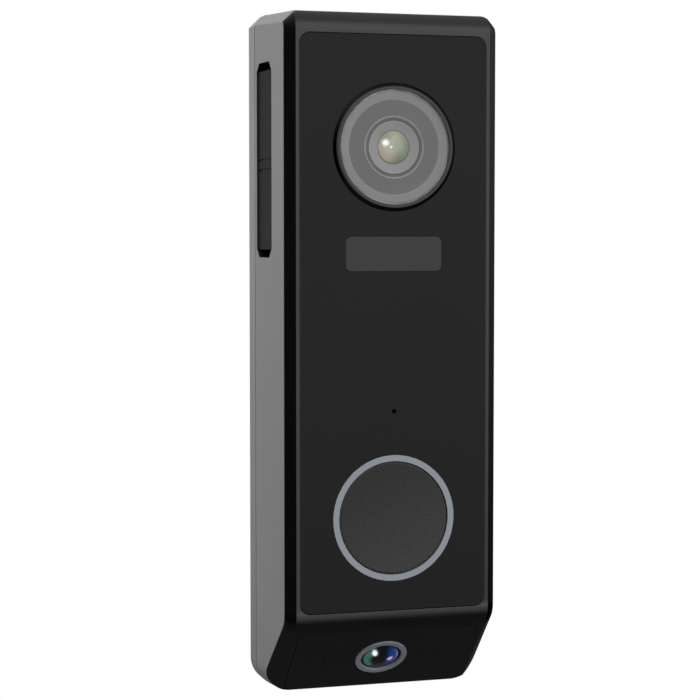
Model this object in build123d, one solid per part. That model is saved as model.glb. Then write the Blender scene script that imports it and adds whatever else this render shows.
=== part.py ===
from build123d import *
import os
from math import asin, cos, radians, sin, sqrt, tan

# A video doorbell for the wall beside a door, in millimetres.
# +X is the viewer's right, +Y runs from the front towards the wall and +Z is up.
# The origin is the middle of the bracket's face on the wall.
# A depth is measured backwards from the plane of the front rim.

# Housing
total_height = 149.4
total_width = 49.6
total_depth = 30.0
seam_share = 0.7533
draft = 2.65
wall = 2.0
front_wall = 1.8
rim_bevel = 2.0
top_radius = 4.0
top_facet = 2.5
facet_blend = 1.2
bottom_radius = 5.8
soft_edge = 0.5
block_corner = 1.0

# Chin: the slanted lower front
chin_tilt = 44.1
chin_rise = 17.36
chin_bend_radius = 6.4

# Clearances
fit_gap = 0.15
slide_gap = 0.3
screw_gap = 0.08
trim_gap = 0.08
glass_gap = 0.05

# Front panel
panel_side_margin = 3.95
panel_top_margin = 5.78
panel_bottom_margin = 2.8
panel_radius = 2.2
panel_thickness = 1.6
panel_proud = 0.2
tape_thickness = 0.2
tape_width = 1.6

# Places on the front
camera_drop = 29.6
pir_drop = 22.72
button_rise = 22.83
mic_rise = 23.1

# Upper camera
bezel_radius = 13.7
bezel_rise = 1.0
bezel_face_radius = 12.86
window_radius = 12.18
window_thickness = 0.6
window_ledge = 0.25
bezel_skirt_radius = 12.95
bezel_skirt_depth = 4.2
hood_floor_radius = 10.07
hood_floor_depth = 0.1
hood_floor = 1.2
hood_line_radius = 6.65
hood_line_width = 0.25
hood_line_rise = 0.12
barrel_radius = 5.75
barrel_face_depth = 0.5
lens_radius = 3.5
lens_dome = 0.95
lens_seat = 1.1
rear_lens_radius = 2.6
rear_lens_thickness = 1.5
holder_width = 15.0
holder_gap = 0.8
sensor_width = 6.0
sensor_thickness = 0.9
sensor_gap = 0.7
camera_board_width = 24.0
camera_board_thickness = 1.0
led_width = 2.4
led_height = 1.5
led_board_thickness = 0.8
led_count = 6

# Movement sensor
pir_width = 21.56
pir_height = 7.36
pir_radius = 1.25
pir_thickness = 1.5
pir_flange = 1.5
pir_flange_thickness = 1.0
pir_can_radius = 4.6
pir_can_height = 4.2
pir_can_edge = 0.4
pir_eye_width = 4.6
pir_eye_height = 3.6
pir_eye_sink = 0.3

# Microphone
mic_hole_radius = 0.5
mic_length = 3.5
mic_width = 2.7
mic_height = 1.0
boot_radius = 2.8

# Push button
ring_radius = 13.63
ring_bore = 12.31
ring_flange = 1.5
ring_flange_thickness = 1.0
ring_skirt = 0.7
cap_radius = 12.1
cap_front = -0.1
cap_dish = 0.35
cap_lip = 0.5
cap_lip_thickness = 0.8
cap_edge = 0.3
cap_post_radius = 2.0
press_travel = 0.5
touch_gap = 0.1
switch_width = 6.0
switch_height = 2.0
stem_radius = 1.5
stem_height = 0.8
stem_root = 1.0
button_board_share = 0.2667
button_board_radius = 15.4
button_board_thickness = 1.0
ear_side_margin = 7.0
ear_radius = 2.6
membrane_foot_radius = 11.5
membrane_top_radius = 7.0
membrane_wall = 0.8
ring_led_width = 1.6
ring_led_height = 0.6
ring_led_gap = 0.2
ring_led_count = 8

# Main board and what it carries
board_side_margin = 5.6
board_top_margin = 8.7
board_bottom_margin = 7.34
board_share = 0.44
board_thickness = 1.2
boss_radius = 2.5
board_screw_side = 2.7
board_screw_inset = 2.8
shield_width = 22.0
shield_margin = 2.2
shield_thickness = 2.5
shield_edge = 0.5
antenna_width = 24.0
antenna_height = 6.0
antenna_thickness = 1.0
antenna_margin = 1.0
screw_radius = 1.0
screw_head_radius = 1.9
screw_head = 1.4
board_screw_length = 6.0

# Port slot in the left side
slot_drop = 10.94
slot_length = 42.3
slot_land = 1.3
slot_lift = 1.55
slot_corner = 1.9
slot_gap = 0.2
port_wall = 1.0
port_floor = 1.4
flap_sink = 0.4
flap_thickness = 1.8
anchor_width = 2.18
anchor_offset = -1.01
groove = 0.45
nail_gap = 1.78
plug_depth = 1.0
plug_gap = 0.5
peg_length = 5.0
peg_width = 1.0
usb_offset = -10.8
usb_width = 8.94
usb_height = 3.2
usb_length = 7.3
usb_shell = 0.35
usb_tongue = 0.7
usb_tongue_width = 6.2
usb_round = 1.3
connector_back = 1.0
card_offset = 8.5
card_width = 14.0
card_height = 1.8
card_length = 14.3
card_slot_width = 11.4
card_slot_height = 0.9
mouth_gap = 0.4
reset_offset = 16.9
reset_radius = 0.8
reset_head_radius = 1.3
reset_head = 0.6
reset_travel = 0.4
reset_body = 2.2
reset_body_height = 3.0

# Lower camera in the chin
chin_lens_run = 12.88
chin_panel_side_margin = 4.4
chin_panel_thickness = 1.2
chin_panel_radius = 2.0
chin_panel_margin = 0.45
chin_ring_radius = 5.86
chin_ring_bore = 4.55
chin_ring_rise = 0.3
chin_barrel_radius = 4.45
chin_barrel_face = 0.2
chin_barrel_length = 7.0
chin_lens_radius = 4.1
chin_lens_dome = 1.0
chin_lens_seat = 1.0
chin_holder_width = 11.0
chin_holder_depth = 5.0
chin_board_width = 31.0
chin_board_height = 11.0
chin_board_thickness = 1.0
chin_sensor_width = 5.0
chin_sensor_thickness = 0.8
ir_window_offset = 10.78
ir_window_width = 4.5
ir_window_height = 3.3
ir_window_gap = 0.06
ir_led_width = 2.6
ir_led_height = 1.4
flex_width = 8.0
flex_thickness = 0.3
flex_lap = 2.5
flex_radius = 2.0

# Rear cover and wall bracket
seal_thickness = 0.25
seal_setback = 0.4
seal_width = 1.2
cover_setback = 0.3
cover_floor = 1.8
cover_back_radius = 2.0
tab_length = 26.0
tab_thickness = 1.2
tab_reach = 2.0
case_screw_side = 5.0
case_screw_top = 5.2
case_screw_bottom = 8.7
case_boss_radius = 2.6
case_screw_length = 9.0
case_head_sink = 0.8
bracket_side_margin = 9.3
bracket_top_margin = 16.7
bracket_bottom_margin = 6.7
bracket_thickness = 2.4
bracket_radius = 3.0
bracket_gap = 0.3
tongue_width = 18.0
tongue_reach = 2.4
tongue_thickness = 1.1
wall_hole_radius = 2.2
wall_hole_spacing = 83.3
wall_countersink_radius = 4.0
lug_width = 10.0
lug_height = 6.0
lug_depth = 4.2
lug_shell = 1.4
security_radius = 1.0
security_head_radius = 1.9
security_head = 1.6
security_engage = 5.0

# Battery and speaker
battery_side_margin = 6.8
battery_headroom = 9.34
battery_gap = 1.25
battery_margin = 6.0
battery_radius = 2.5
rib_height = 4.0
rib_thickness = 1.2
lead_radius = 0.6
lead_spacing = 2.4
lead_offset = 7.0
lead_bend = 1.4
plug_width = 7.0
plug_height = 5.0
plug_thickness = 3.2
plug_rise = 6.0
speaker_width = 26.0
speaker_height = 22.0
speaker_gap = 0.5
speaker_radius = 3.0
cone_radius = 8.0
cone_depth = 0.8
gasket_width = 18.0
gasket_thickness = 2.2
gasket_wall = 0.6
outlet_count = 5
outlet_width = 2.2
outlet_pitch = 3.4

# Values worked out from the sizes above
tilt = radians(chin_tilt)
lean = radians(draft)
seam_depth = total_depth * seam_share
board_depth = total_depth * board_share
button_board_depth = total_depth * button_board_share
panel_width = total_width - 2 * panel_side_margin
chin_panel_width = total_width - 2 * chin_panel_side_margin
board_width = total_width - 2 * board_side_margin
battery_width = total_width - 2 * battery_side_margin
bracket_width = total_width - 2 * bracket_side_margin
board_screw_x = board_width / 2 - board_screw_side
case_screw_x = total_width / 2 - case_screw_side
ear_reach = total_width / 2 - ear_side_margin
top_z = total_height / 2
bottom_z = -total_height / 2
front_top = top_z - seam_depth * tan(lean)
front_side = total_width / 2 - seam_depth * tan(lean)
chin_bend_z = bottom_z + chin_rise
camera_z = top_z - camera_drop
pir_z = camera_z - pir_drop
button_z = chin_bend_z + button_rise
mic_z = button_z + mic_rise
panel_front = -panel_proud
panel_back = panel_front + panel_thickness
panel_seat = panel_back + tape_thickness
front_inset = panel_seat + front_wall
panel_top = top_z - panel_top_margin
panel_bottom = chin_bend_z + panel_bottom_margin
panel_height = panel_top - panel_bottom
panel_z = (panel_top + panel_bottom) / 2
board_back = board_depth + board_thickness
barrel_back_depth = board_depth - camera_board_thickness - sensor_thickness - sensor_gap
ring_skirt_depth = button_board_depth - ring_led_height - ring_led_gap
board_top = top_z - board_top_margin
board_bottom = chin_bend_z + board_bottom_margin
cover_front = seam_depth + seal_thickness
cover_back = total_depth - cover_setback
pocket_depth = total_depth - bracket_thickness - fit_gap
inner_floor = pocket_depth - cover_floor
battery_thickness = inner_floor - board_back - battery_gap
bracket_top = top_z - bracket_top_margin
bracket_bottom = bottom_z + bracket_bottom_margin
case_screw_places = [
    (side * case_screw_x, z)
    for side in (-1, 1)
    for z in (top_z - case_screw_top, bottom_z + case_screw_bottom)
]
board_screw_places = [
    (side * board_screw_x, z)
    for side in (-1, 1)
    for z in (board_top - board_screw_inset, board_bottom + board_screw_inset)
]
ear_places = [(side * ear_reach, button_z) for side in (-1, 1)]
ir_window_places = [side * ir_window_offset for side in (-1, 1)]

# Length of the chin from its bend to the bottom, where the bottom also has draft
chin_run = (chin_rise - seam_depth * tan(lean)) / (cos(tilt) - sin(tilt) * tan(lean))
chin_panel_top = chin_lens_run - chin_bend_radius * tan(tilt / 2)
chin_panel_bottom = chin_lens_run - chin_run + chin_panel_margin

# Depths below the drafted left side
flap_back = flap_sink + flap_thickness
port_floor_top = flap_back + fit_gap
port_floor_back = port_floor_top + port_floor
slot_depth = board_back + slot_lift
slot_width = 2 * (seam_depth - slot_land - slot_depth)
slot_z = top_z - slot_drop - slot_length / 2
side_x = -(total_width / 2 - (seam_depth - slot_depth) * tan(lean))

# The battery ends below the charging socket, and the shield can lies between its neighbours
battery_low = board_bottom + battery_margin
battery_top = slot_z + usb_offset - usb_width / 2 - battery_headroom
battery_length = battery_top - battery_low
battery_z = (battery_top + battery_low) / 2
shield_low = mic_z + boot_radius + shield_margin
shield_top = pir_z - pir_can_radius - shield_margin


def facing(depth):
    """A plane parallel to the front, as the viewer sees it."""
    return Plane(origin=(0, depth - total_depth, 0), x_dir=(1, 0, 0), z_dir=(0, -1, 0))


def slab(shape, start, end):
    """A flat shape, drawn as the viewer sees it, between two depths."""
    return extrude(facing(start) * shape, amount=start - end)


def turned(z, *profile):
    """A turned piece about a front-to-back axis, from points of radius and depth."""
    points = [(radius, depth - total_depth) for radius, depth in profile]
    return Pos(0, 0, z) * revolve(make_face(Polyline(*points, close=True)), Axis.Y)


chin_face = Plane(
    origin=(0, chin_lens_run * sin(tilt) - total_depth, chin_bend_z - chin_lens_run * cos(tilt)),
    x_dir=(1, 0, 0),
    z_dir=(0, -cos(tilt), -sin(tilt)),
)
side_face = Plane(
    origin=(side_x, slot_depth - total_depth, slot_z),
    x_dir=(sin(lean), -cos(lean), 0),
    z_dir=(-cos(lean), -sin(lean), 0),
)


def chin_slab(shape, start, end):
    """A flat shape on the chin, between two depths below its face."""
    return extrude(chin_face.offset(-start) * shape, amount=start - end)


def chin_turned(*profile):
    """A turned piece about the lower camera's axis, from points of radius and depth."""
    points = [(radius, -depth) for radius, depth in profile]
    ring = revolve(Plane.XZ * make_face(Polyline(*points, close=True)), Axis.Z)
    return chin_face.location * ring


def side_slab(shape, start, end):
    """A flat shape on the left side, X towards the front and Y up, between two depths."""
    return extrude(side_face.offset(-start) * shape, amount=start - end)


def group(solids):
    """Separate solids kept together in one node."""
    return Compound(children=list(solids))


def screw(x, z, head_depth, head_radius, head, shank, length):
    """A screw driven towards the front, with its head resting at a depth."""
    body = slab(Pos(x, z) * Circle(shank), head_depth - length, head_depth)
    cap = slab(Pos(x, z) * Circle(head_radius), head_depth, head_depth + head)
    rim = cap.faces().sort_by(Axis.Y)[-1].edges()
    return body + fillet(rim, head / 3)


# Outer forms


def depth_edges(block, above):
    """Edges that run from front to back, in the upper or the lower half."""
    runs = [e for e in block.edges() if abs((e @ 1).Y - (e @ 0).Y) > seam_depth / 4]
    return [e for e in runs if (e.center().Z > 0) == above]


def seam_outline(inset):
    """Outline at the seam, with faceted top corners and round bottom ones, moved in by inset."""
    box = Rectangle(total_width - 2 * inset, total_height - 2 * inset)
    box = chamfer(box.vertices().group_by(Axis.Y)[-1], top_facet - inset * (2 - sqrt(2)))
    return fillet(box.vertices().group_by(Axis.Y)[0], bottom_radius - inset)


def drafted_block(inset, start):
    """The block from the seam forward, narrowing with the draft, moved in by inset."""
    base = Rectangle(total_width - 2 * inset, total_height - 2 * inset)
    block = extrude(facing(seam_depth) * base, amount=seam_depth - start, taper=draft)
    block = chamfer(depth_edges(block, True), top_facet - inset * (2 - sqrt(2)))
    return fillet(depth_edges(block, False), bottom_radius - inset)


def front_section(inset):
    """Section from front to back of all that lies behind the front and the chin, moved in by inset."""
    bend_z = chin_bend_z + inset * tan(tilt / 2)
    far = total_height
    outline = Polyline(
        (inset - total_depth, far),
        (inset - total_depth, bend_z),
        (inset - total_depth + far * sin(tilt), bend_z - far * cos(tilt)),
        (far, bend_z - far * cos(tilt)),
        (far, far),
        close=True,
    )
    section = make_face(outline)
    bend = section.vertices().sort_by_distance((inset - total_depth, bend_z))[0]
    return fillet(bend, chin_bend_radius - inset)


def front_prism(inset):
    return extrude(Plane.YZ * front_section(inset), amount=total_width, both=True)


def bevelled_front():
    """All that lies behind the front, its top edge rounded back and its sides bevelled."""
    shelf = 2 * top_radius
    over_top = Polyline(
        (-total_depth, front_top),
        (shelf - total_depth, front_top + shelf * tan(lean)),
        (shelf - total_depth, total_height),
        (-total_depth, total_height),
        close=True,
    )
    section = front_section(0) - make_face(over_top)
    top = section.vertices().sort_by_distance((-total_depth, front_top))[0]
    section = fillet(top, top_radius)
    flat = front_side - rim_bevel
    middle = extrude(Plane.YZ * section, amount=flat, both=True)
    end_width = total_width / 2 - flat + fit_gap
    end = extrude(Plane.YZ.offset(flat) * section, amount=end_width, taper=45)
    return middle + end + mirror(end, Plane.YZ)


def housing_form():
    """The solid outer form of the housing, its facets blended into the front."""
    form = drafted_block(0, 0) & bevelled_front()
    facets = [f for f in form.faces() if f.normal_at().Z > 0.5 and abs(f.normal_at().X) > 0.5]
    form = fillet([e for f in facets for e in f.edges().sort_by(Axis.Y)[:2]], facet_blend)
    return fillet(depth_edges(form, True), soft_edge)


def slot_outline(gap):
    """The port slot's outline with cut corners, drawn in by a gap."""
    box = Rectangle(slot_width - 2 * gap, slot_length - 2 * gap)
    return chamfer(box.vertices(), slot_corner - gap * (2 - sqrt(2)))


def mouth(width, height, offset):
    """An opening in the port floor, its width running up the slot."""
    return Pos(0, offset) * Rectangle(height, width)


def panel_outline(gap):
    size = (panel_width + 2 * gap, panel_height + 2 * gap)
    return Pos(0, panel_z) * RectangleRounded(*size, panel_radius + gap)


def pir_outline(gap):
    size = (pir_width + 2 * gap, pir_height + 2 * gap)
    return Pos(0, pir_z) * RectangleRounded(*size, pir_radius + gap)


def chin_panel_outline(gap):
    size = (chin_panel_width + 2 * gap, chin_panel_top - chin_panel_bottom + 2 * gap)
    middle = (chin_panel_top + chin_panel_bottom) / 2
    return Pos(0, middle) * RectangleRounded(*size, chin_panel_radius + gap)


# Housing and panels


def main_housing():
    shell = housing_form() - (drafted_block(wall, front_inset) & front_prism(front_inset))

    # Bosses for the case screws, the main board and the button board
    bosses = [(place, case_boss_radius, seam_depth) for place in case_screw_places]
    bosses += [(place, boss_radius, board_depth) for place in board_screw_places]
    bosses += [(place, ear_radius, button_board_depth) for place in ear_places]
    for place, radius, end in bosses:
        shell += slab(Pos(*place) * Circle(radius), wall, end) & front_prism(wall)

    # Well behind the port slot
    shell += side_slab(slot_outline(-port_wall), wall / 2, port_floor_back)
    shell -= side_slab(slot_outline(0), -wall, port_floor_top)
    usb_mouth = mouth(usb_width + 2 * mouth_gap, usb_height + 2 * mouth_gap, usb_offset)
    card_mouth = mouth(card_width, card_height + 2 * mouth_gap, card_offset)
    reset_hole = Pos(0, reset_offset) * Circle(reset_radius + fit_gap)
    peg_hole = Pos(0, anchor_offset) * Rectangle(peg_length + 2 * fit_gap, peg_width + 2 * fit_gap)
    for opening in (usb_mouth, card_mouth, reset_hole, peg_hole):
        shell -= side_slab(opening, port_floor_top - fit_gap, port_floor_back + wall)

    # Front: panel seat, then the openings through the wall
    shell -= slab(panel_outline(fit_gap), -wall, panel_seat)
    shell -= slab(Pos(0, camera_z) * Circle(bezel_skirt_radius + fit_gap), 0, front_inset + wall)
    flange = pir_outline(pir_flange + fit_gap)
    shell -= slab(flange, 0, panel_seat + pir_flange_thickness)
    shell -= slab(pir_outline(0), 0, front_inset + wall)
    shell -= slab(Pos(0, mic_z) * Circle(mic_hole_radius), 0, front_inset + wall)
    ring_seat = Circle(ring_radius + ring_flange + fit_gap)
    shell -= slab(Pos(0, button_z) * ring_seat, 0, panel_seat + ring_flange_thickness)
    shell -= slab(Pos(0, button_z) * Circle(ring_radius + fit_gap), 0, front_inset + wall)

    # Chin: panel seat, lens hole and the holes before the infrared lights
    shell -= chin_slab(chin_panel_outline(fit_gap), -wall, chin_panel_thickness)
    shell -= chin_slab(Circle(chin_barrel_radius + slide_gap), 0, front_inset + wall)
    for x in ir_window_places:
        shell -= chin_slab(Pos(x, 0) * Rectangle(ir_led_width, ir_led_width), 0, front_inset + wall)

    # Screw holes and the sound outlet in the bottom
    pilot = Circle(screw_radius + screw_gap)
    for place in case_screw_places:
        shell -= slab(Pos(*place) * pilot, seam_depth - case_screw_length, seam_depth + wall)
    for place in board_screw_places:
        shell -= slab(Pos(*place) * pilot, board_depth - board_screw_length, board_depth + wall)
    for place in ear_places:
        shell -= slab(Pos(*place) * pilot, front_inset, button_board_depth + wall)
    for x in outlet_places():
        slot = Pos(x, bottom_z) * Rectangle(outlet_width, 4 * wall)
        shell -= slab(slot, outlet_start(), outlet_start() + gasket_thickness - 2 * gasket_wall)
    return shell


def outlet_places():
    middle = (outlet_count - 1) / 2
    return [(i - middle) * outlet_pitch for i in range(outlet_count)]


def outlet_start():
    """Depth where the sound slots start: the gasket's duct, just inside the seam."""
    return seam_depth - slide_gap - gasket_thickness + gasket_wall


def front_panel():
    panel = slab(panel_outline(0), panel_front, panel_back)
    panel = fillet(panel.faces().sort_by(Axis.Y)[0].edges(), panel_proud / 2)
    panel -= slab(Pos(0, camera_z) * Circle(bezel_skirt_radius + fit_gap), panel_front, panel_back)
    panel -= slab(pir_outline(trim_gap), panel_front, panel_back)
    panel -= slab(Pos(0, mic_z) * Circle(mic_hole_radius), panel_front, panel_back)
    panel -= slab(Pos(0, button_z) * Circle(ring_radius + trim_gap), panel_front, panel_back)
    return panel


def panel_tape():
    tape = panel_outline(-fit_gap) - panel_outline(-fit_gap - tape_width)
    return slab(tape, panel_back, panel_seat)


def chin_panel():
    panel = chin_slab(chin_panel_outline(0), 0, chin_panel_thickness)
    panel -= chin_slab(Circle(chin_ring_radius + trim_gap), 0, chin_panel_thickness)
    for x in ir_window_places:
        panel -= chin_slab(Pos(x, 0) * ir_window_shape(ir_window_gap), 0, chin_panel_thickness)
    return panel


def ir_window_shape(gap):
    return Rectangle(ir_window_width + 2 * gap, ir_window_height + 2 * gap)


def chin_ir_windows():
    shape = ir_window_shape(0)
    return group(chin_slab(Pos(x, 0) * shape, 0, chin_panel_thickness) for x in ir_window_places)


def rear_cover():
    cover = slab(seam_outline(0), cover_front, cover_back)
    cover = fillet(cover.faces().sort_by(Axis.Y)[-1].edges(), cover_back_radius)
    cover -= slab(seam_outline(wall), cover_front, inner_floor)

    # Tabs that locate the cover inside the housing, on the top, the right and the lower left
    tab_side = total_width / 2 - wall - slide_gap - tab_thickness / 2
    tab_top = top_z - wall - slide_gap - tab_thickness / 2
    upright = Rectangle(tab_thickness, tab_length)
    tabs = Pos(0, tab_top) * Rectangle(tab_length, tab_thickness)
    tabs += Pos(tab_side, slot_z) * upright
    tabs += Pos(tab_side, button_z) * upright
    tabs += Pos(-tab_side, button_z) * upright
    cover += slab(tabs, cover_front - tab_reach, inner_floor)

    # Bosses for the case screws, ribs beside the battery and the shell of the lug's pocket
    for place in case_screw_places:
        cover += slab(Pos(*place) * Circle(case_boss_radius), cover_front, inner_floor)
    rib_x = battery_width / 2 + slide_gap + rib_thickness / 2
    rib = Rectangle(rib_thickness, battery_length / 2)
    for side in (-1, 1):
        cover += slab(Pos(side * rib_x, battery_z) * rib, inner_floor - rib_height, inner_floor)
    lug_front = total_depth - lug_depth - fit_gap
    shell = Rectangle(lug_width + 2 * (bracket_gap + lug_shell), lug_height + 2 * lug_shell)
    cover += slab(Pos(0, lug_z()) * shell, lug_front - lug_shell, inner_floor)

    # Bracket pocket, its undercut for the tongue, and the lug's pocket
    cover -= slab(bracket_outline(bracket_gap), pocket_depth, total_depth)
    undercut = Rectangle(tongue_width + 2 * bracket_gap, 2 * (tongue_reach + bracket_gap))
    tongue_back = pocket_depth + fit_gap + tongue_thickness
    cover -= slab(Pos(0, bracket_top) * undercut, pocket_depth, tongue_back + fit_gap)
    lug = Rectangle(lug_width + 2 * bracket_gap, lug_height + 2 * bracket_gap)
    cover -= slab(Pos(0, lug_z()) * lug, lug_front, total_depth)

    # Case screw holes with sunk heads, and the security screw's hole
    for place in case_screw_places:
        cover -= slab(Pos(*place) * Circle(screw_radius + fit_gap), 0, total_depth)
        cover -= slab(Pos(*place) * Circle(screw_head_radius + slide_gap), case_head_seat(), total_depth)
    cover -= security_pin(security_radius + fit_gap, bottom_z, bracket_bottom)
    cover -= security_pin(security_head_radius + fit_gap, bottom_z, security_seat_z())
    return cover


def case_head_seat():
    """Depth where the heads of the case screws rest in the rear cover."""
    return cover_back - case_head_sink - screw_head


def security_seat_z():
    return bottom_z + security_head + fit_gap


def security_pin(radius, low, high):
    """A vertical cylinder on the security screw's axis."""
    plane = Plane(origin=(0, -lug_depth / 2, low), x_dir=(1, 0, 0), z_dir=(0, 0, 1))
    return extrude(plane * Circle(radius), amount=high - low)


def rear_seal():
    ring = seam_outline(seal_setback) - seam_outline(seal_setback + seal_width)
    return slab(ring, seam_depth, cover_front)


def case_screws():
    seat = case_head_seat()
    length = seat - seam_depth + case_screw_length - slide_gap
    return group(
        screw(x, z, seat, screw_head_radius, screw_head, screw_radius, length)
        for x, z in case_screw_places
    )


def bracket_outline(gap):
    height = bracket_top - bracket_bottom + 2 * gap
    box = RectangleRounded(bracket_width + 2 * gap, height, bracket_radius + gap)
    return Pos(0, (bracket_top + bracket_bottom) / 2) * box


def lug_z():
    return bracket_bottom + lug_height / 2


def wall_bracket():
    front = total_depth - bracket_thickness
    plate = slab(bracket_outline(0), front, total_depth)
    tongue = Pos(0, bracket_top) * Rectangle(tongue_width, 2 * tongue_reach)
    plate += slab(tongue, front, front + tongue_thickness)
    lug = Pos(0, lug_z()) * Rectangle(lug_width, lug_height)
    plate += slab(lug, total_depth - lug_depth, total_depth)
    sink = wall_countersink_radius - wall_hole_radius
    for z in (-wall_hole_spacing / 2, wall_hole_spacing / 2):
        plate -= slab(Pos(0, z) * Circle(wall_hole_radius), front, total_depth)
        plate -= turned(
            z,
            (0, front),
            (wall_countersink_radius, front),
            (wall_hole_radius, front + sink / 2),
            (0, front + sink / 2),
        )
    hole_end = bracket_bottom + security_engage + slide_gap
    return plate - security_pin(security_radius + screw_gap, bracket_bottom, hole_end)


def security_screw():
    seat = security_seat_z()
    shank = security_pin(security_radius, seat, bracket_bottom + security_engage)
    return shank + security_pin(security_head_radius, seat - security_head, seat)


# Upper camera


def window_ledge_depth():
    """Depth of the bezel's ledge that carries the window."""
    return panel_front - bezel_rise + window_thickness + glass_gap


def bezel_bore():
    return window_radius - window_ledge


def camera_bezel():
    face = panel_front - bezel_rise
    seat_radius = window_radius + glass_gap
    return turned(
        camera_z,
        (bezel_radius, panel_front),
        (bezel_face_radius, face),
        (seat_radius, face),
        (seat_radius, window_ledge_depth()),
        (bezel_bore(), window_ledge_depth()),
        (bezel_bore(), bezel_skirt_depth),
        (bezel_skirt_radius, bezel_skirt_depth),
        (bezel_skirt_radius, panel_front),
    )


def hood_back():
    return hood_floor_depth + hood_floor


def camera_hood():
    """The pale dish behind the window, pressed into the bezel round the lens barrel."""
    rim = bezel_bore() - glass_gap
    line_front = hood_floor_depth - hood_line_rise
    line_bore = hood_line_radius - hood_line_width
    return turned(
        camera_z,
        (rim, window_ledge_depth()),
        (hood_floor_radius, hood_floor_depth),
        (hood_line_radius, hood_floor_depth),
        (hood_line_radius, line_front),
        (line_bore, line_front),
        (line_bore, hood_floor_depth),
        (barrel_radius + trim_gap, hood_floor_depth),
        (barrel_radius + trim_gap, hood_back()),
        (rim, hood_back()),
    )


def camera_window():
    face = panel_front - bezel_rise + glass_gap
    disc = slab(Pos(0, camera_z) * Circle(window_radius), face, face + window_thickness)
    return chamfer(disc.faces().sort_by(Axis.Y)[0].edges(), window_thickness / 4)


def lens_barrel():
    bore = rear_lens_radius - window_ledge
    seat = barrel_face_depth + lens_seat
    return turned(
        camera_z,
        (lens_radius + glass_gap, barrel_face_depth),
        (barrel_radius, hood_floor_depth),
        (barrel_radius, barrel_back_depth),
        (rear_lens_radius + glass_gap, barrel_back_depth),
        (rear_lens_radius + glass_gap, barrel_back_depth - rear_lens_thickness),
        (bore, barrel_back_depth - rear_lens_thickness),
        (bore, seat),
        (lens_radius + glass_gap, seat),
    )


def domed_lens(radius, dome, seat):
    """A lens with a flat back and a domed front, about the Z axis, its rim at height 0."""
    rim = (radius, 0)
    crown = (0, dome)
    ball = (radius**2 + dome**2) / (2 * dome)
    half_angle = asin(radius / ball) / 2
    between = (ball * sin(half_angle), dome - ball + ball * cos(half_angle))
    outline = ThreePointArc(rim, between, crown) + Polyline(crown, (0, -seat), (radius, -seat), rim)
    return revolve(Plane.XZ * make_face(outline), Axis.Z)


def front_lens():
    plane = facing(barrel_face_depth)
    return plane.location * Pos(0, camera_z) * domed_lens(lens_radius, lens_dome, lens_seat)


def rear_lens():
    shape = Pos(0, camera_z) * Circle(rear_lens_radius)
    return slab(shape, barrel_back_depth - rear_lens_thickness, barrel_back_depth)


def camera_holder():
    back = board_depth - camera_board_thickness
    block = RectangleRounded(holder_width, holder_width, block_corner)
    shape = Pos(0, camera_z) * (block - Circle(barrel_radius + screw_gap))
    return slab(shape, hood_back() + led_height + led_board_thickness + holder_gap, back)


def image_sensor():
    back = board_depth - camera_board_thickness
    return slab(Pos(0, camera_z) * Rectangle(sensor_width, sensor_width), back - sensor_thickness, back)


def camera_board():
    shape = RectangleRounded(camera_board_width, camera_board_width, block_corner)
    return slab(Pos(0, camera_z) * shape, board_depth - camera_board_thickness, board_depth)


def ir_leds():
    ring = (barrel_radius + bezel_bore()) / 2
    start = hood_back()
    led = Rectangle(led_width, led_width)
    return group(
        slab(Pos(0, camera_z) * place * led, start, start + led_height)
        for place in PolarLocations(ring, led_count)
    )


def ir_led_board():
    start = hood_back() + led_height
    outer = Circle(bezel_bore() - fit_gap)
    ring = outer - Circle(barrel_radius + slide_gap)
    return slab(Pos(0, camera_z) * ring, start, start + led_board_thickness)


# Movement sensor and microphone


def pir_window():
    window = slab(pir_outline(0), panel_front + panel_proud / 2, panel_seat)
    window += slab(pir_outline(pir_flange), panel_seat, panel_seat + pir_flange_thickness)
    inner = pir_outline(-pir_thickness / 2)
    return window - slab(inner, panel_front + pir_thickness, panel_seat + pir_flange_thickness)


def pir_sensor():
    front = board_depth - pir_can_height
    can = slab(Pos(0, pir_z) * Circle(pir_can_radius), front, board_depth)
    can = fillet(can.faces().sort_by(Axis.Y)[0].edges(), pir_can_edge)
    eye = Rectangle(pir_eye_width, pir_eye_height)
    return can - slab(Pos(0, pir_z) * eye, front, front + pir_eye_sink)


def microphone():
    return slab(Pos(0, mic_z) * Rectangle(mic_length, mic_width), board_depth - mic_height, board_depth)


def mic_boot():
    boot = slab(Pos(0, mic_z) * Circle(boot_radius), front_inset, board_depth)
    boot -= slab(Pos(0, mic_z) * Circle(mic_hole_radius), front_inset, board_depth)
    pocket = Rectangle(mic_length + 2 * fit_gap, mic_width + 2 * fit_gap)
    return boot - slab(Pos(0, mic_z) * pocket, board_depth - mic_height, board_depth)


# Push button


def button_light_ring():
    flange_back = panel_seat + ring_flange_thickness
    skirt = ring_radius - ring_skirt
    return turned(
        button_z,
        (ring_bore, panel_front),
        (ring_radius, panel_front),
        (ring_radius, panel_seat),
        (ring_radius + ring_flange, panel_seat),
        (ring_radius + ring_flange, flange_back),
        (ring_radius, flange_back),
        (ring_radius, ring_skirt_depth),
        (skirt, ring_skirt_depth),
        (skirt, flange_back),
        (ring_bore, flange_back),
    )


def cap_lip_front():
    """Depth of the lip that keeps the cap behind the ring."""
    return panel_seat + ring_flange_thickness + slide_gap


def cap_back():
    return cap_lip_front() + cap_lip_thickness


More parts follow.
